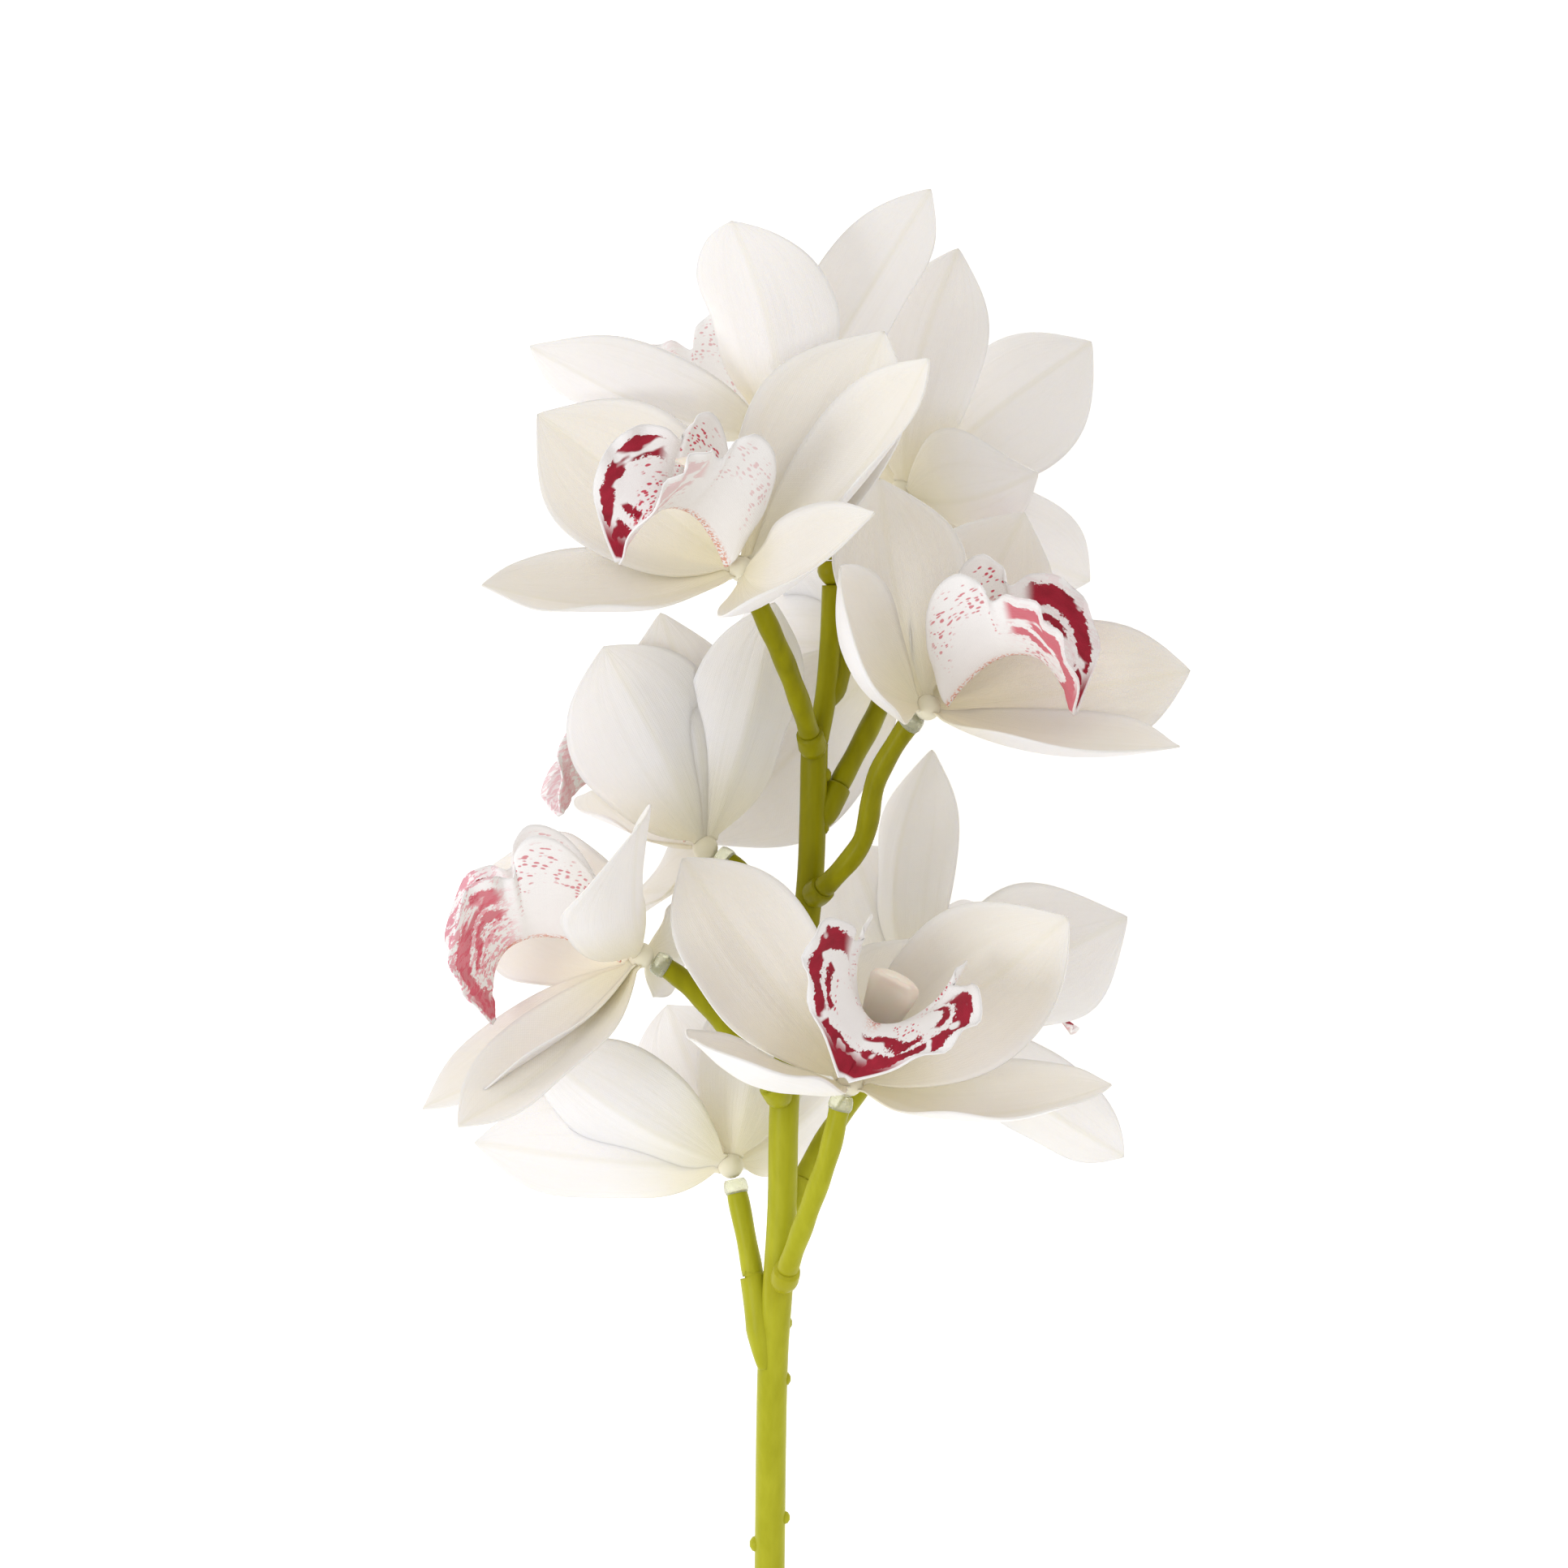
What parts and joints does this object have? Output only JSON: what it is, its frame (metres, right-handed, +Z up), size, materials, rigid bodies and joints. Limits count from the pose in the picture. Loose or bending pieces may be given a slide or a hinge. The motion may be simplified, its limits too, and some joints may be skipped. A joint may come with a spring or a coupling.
{
  "type": "cymbidium orchid stem",
  "caption": "Cut stem of artificial cymbidium orchid lying down: white satin blooms with crimson printed lips on pedicels along an arched green stem.",
  "frame": {"origin": "middle of the whole stem's outline on the surface it lies on", "axes": "+Y along the stem from its cut end toward the blooms, +Z up from the surface, +X to the right as seen from above"},
  "size_m": [0.1704, 0.4166, 0.139],
  "materials": {
    "stem_green": "semi-gloss moulded plastic, yellow-green",
    "collar_clear": "translucent, glossy",
    "tepal_white": "satin weave, warm white, cream near the base",
    "lip_print": "satin weave, white with crimson print",
    "column_cream": "smooth, pale cream"
  },
  "bodies": {
    "root": {"main_stem": "stem_green", "pedicel_A": "stem_green", "pedicel_B": "stem_green", "pedicel_C": "stem_green", "pedicel_D": "stem_green", "pedicel_E": "stem_green", "pedicel_F": "stem_green", "pedicel_G": "stem_green", "pedicel_H": "stem_green", "pedicel_I": "stem_green", "pedicel_J": "stem_green", "collar_A": "collar_clear", "collar_B": "collar_clear", "collar_C": "collar_clear", "collar_D": "collar_clear", "collar_E": "collar_clear", "collar_F": "collar_clear", "collar_G": "collar_clear", "collar_H": "collar_clear", "collar_I": "collar_clear", "collar_J": "collar_clear", "bloom_A_tepals": "tepal_white", "bloom_B_tepals": "tepal_white", "bloom_C_tepals": "tepal_white", "bloom_D_tepals": "tepal_white", "bloom_E_tepals": "tepal_white", "bloom_F_tepals": "tepal_white", "bloom_G_tepals": "tepal_white", "bloom_H_tepals": "tepal_white", "bloom_I_tepals": "tepal_white", "bloom_J_tepals": "tepal_white", "bloom_A_lip": "lip_print", "bloom_B_lip": "lip_print", "bloom_C_lip": "lip_print", "bloom_D_lip": "lip_print", "bloom_E_lip": "lip_print", "bloom_F_lip": "lip_print", "bloom_G_lip": "lip_print", "bloom_H_lip": "lip_print", "bloom_I_lip": "lip_print", "bloom_J_lip": "lip_print", "bloom_A_column": "column_cream", "bloom_B_column": "column_cream", "bloom_C_column": "column_cream", "bloom_D_column": "column_cream", "bloom_E_column": "column_cream", "bloom_F_column": "column_cream", "bloom_G_column": "column_cream", "bloom_H_column": "column_cream", "bloom_I_column": "column_cream", "bloom_J_column": "column_cream"}
  },
  "joints": []
}
